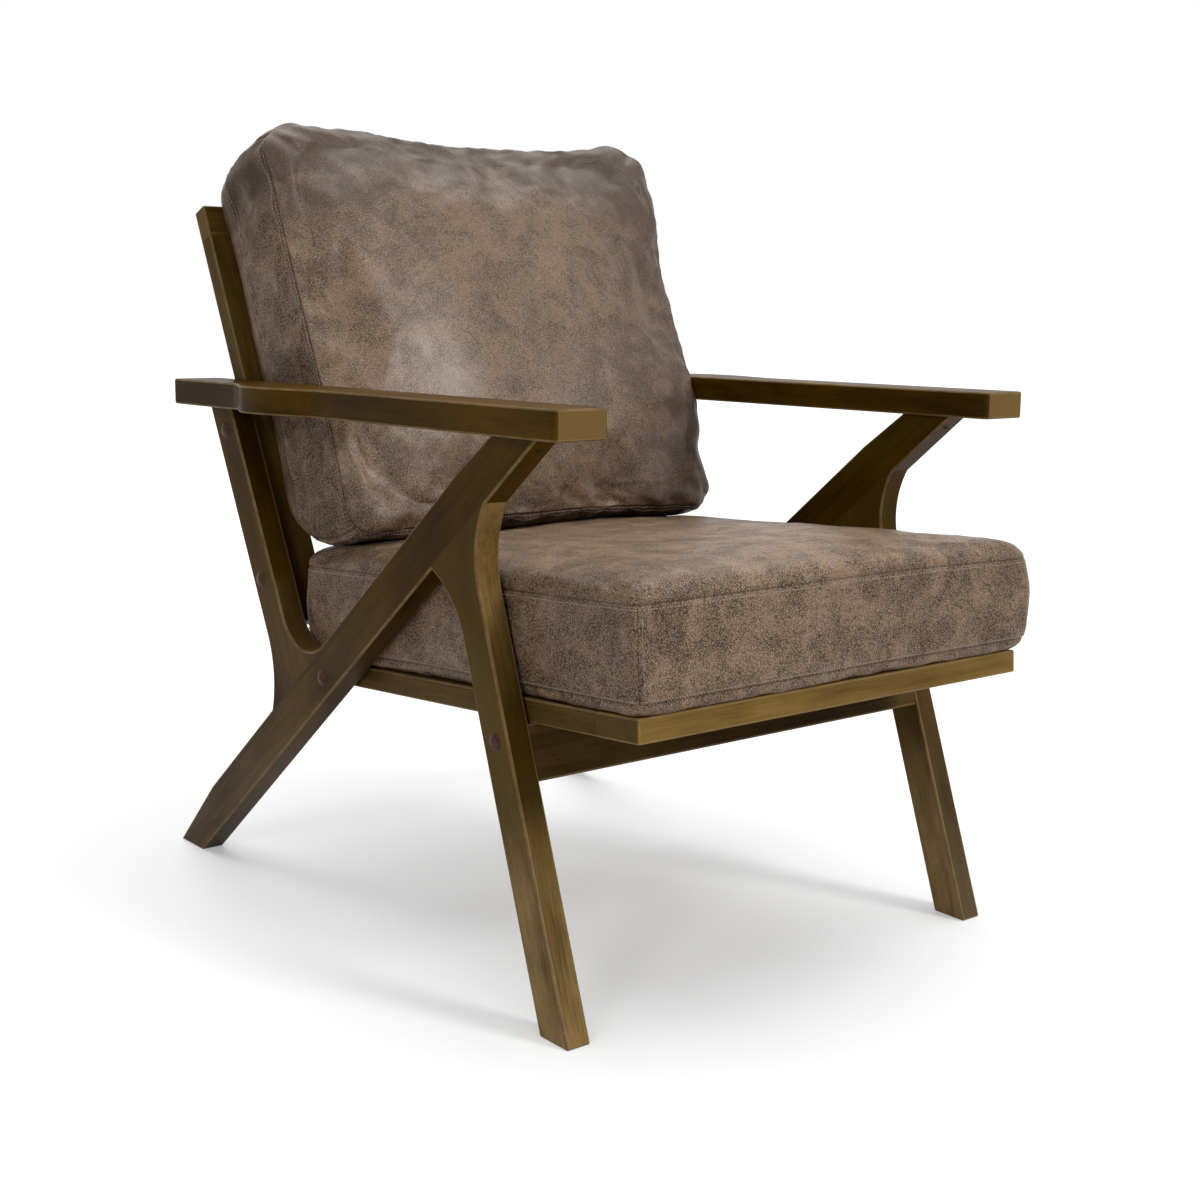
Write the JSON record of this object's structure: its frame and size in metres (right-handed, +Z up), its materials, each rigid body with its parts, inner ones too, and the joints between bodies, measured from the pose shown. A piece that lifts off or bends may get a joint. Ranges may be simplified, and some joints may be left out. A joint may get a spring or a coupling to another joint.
{
  "type": "accent chair",
  "caption": "Low lounge chair with X-shaped wooden side frames, flat armrests and two loose box cushions in distressed leather.",
  "frame": {"origin": "on the floor, at the middle of the chair's footprint", "axes": "+X to the right of the chair as seen from the front, +Y from front to back, +Z up"},
  "size_m": [0.742, 0.8748, 0.9204],
  "materials": {
    "stained_wood": "dark olive-brown stain under satin-gloss lacquer, fine grain",
    "slat_wood": "plain planed wood, hidden by the cushions",
    "dowel_wood": "bare fluted beech, hidden in the joints",
    "steel": "zinc-plated, hidden in the wood",
    "cap_plastic": "dark red-brown domed cap",
    "leather": "distressed taupe-brown, pebbled, with tone-on-tone stitching",
    "foam": "foam block, hidden in the cover"
  },
  "bodies": {
    "frame": {"strut_left": "stained_wood", "strut_right": "stained_wood", "front_leg_left": "stained_wood", "front_leg_right": "stained_wood", "rear_upright_left": "stained_wood", "rear_upright_right": "stained_wood", "armrest_left": "stained_wood", "armrest_right": "stained_wood", "front_stretcher": "stained_wood", "seat_front_rail": "stained_wood", "seat_side_rail_left": "stained_wood", "seat_side_rail_right": "stained_wood", "seat_rear_rail": "stained_wood", "seat_slats": "slat_wood", "back_stile_left": "stained_wood", "back_stile_right": "stained_wood", "back_top_rail": "stained_wood", "back_bottom_rail": "stained_wood", "back_slats": "slat_wood", "bolt_caps": "cap_plastic", "side_bolts": "steel", "threaded_inserts": "steel", "frame_spacers": "steel", "side_frame_dowels": "dowel_wood", "seat_frame_dowels": "dowel_wood", "back_frame_dowels": "dowel_wood"},
    "seat_cushion": {"seat_cushion_cover": "leather", "seat_cushion_foam": "foam"},
    "back_cushion": {"back_cushion_cover": "leather", "back_cushion_foam": "foam"}
  },
  "joints": [
    {"name": "seat_cushion_slide", "type": "slide", "parent": "frame", "child": "seat_cushion", "axis": [0, -0.9964, 0.0849], "range_m": [0, 0.62]},
    {"name": "back_cushion_slide", "type": "slide", "parent": "frame", "child": "back_cushion", "axis": [0, 0.4384, 0.8988], "range_m": [0, 0.55]}
  ]
}
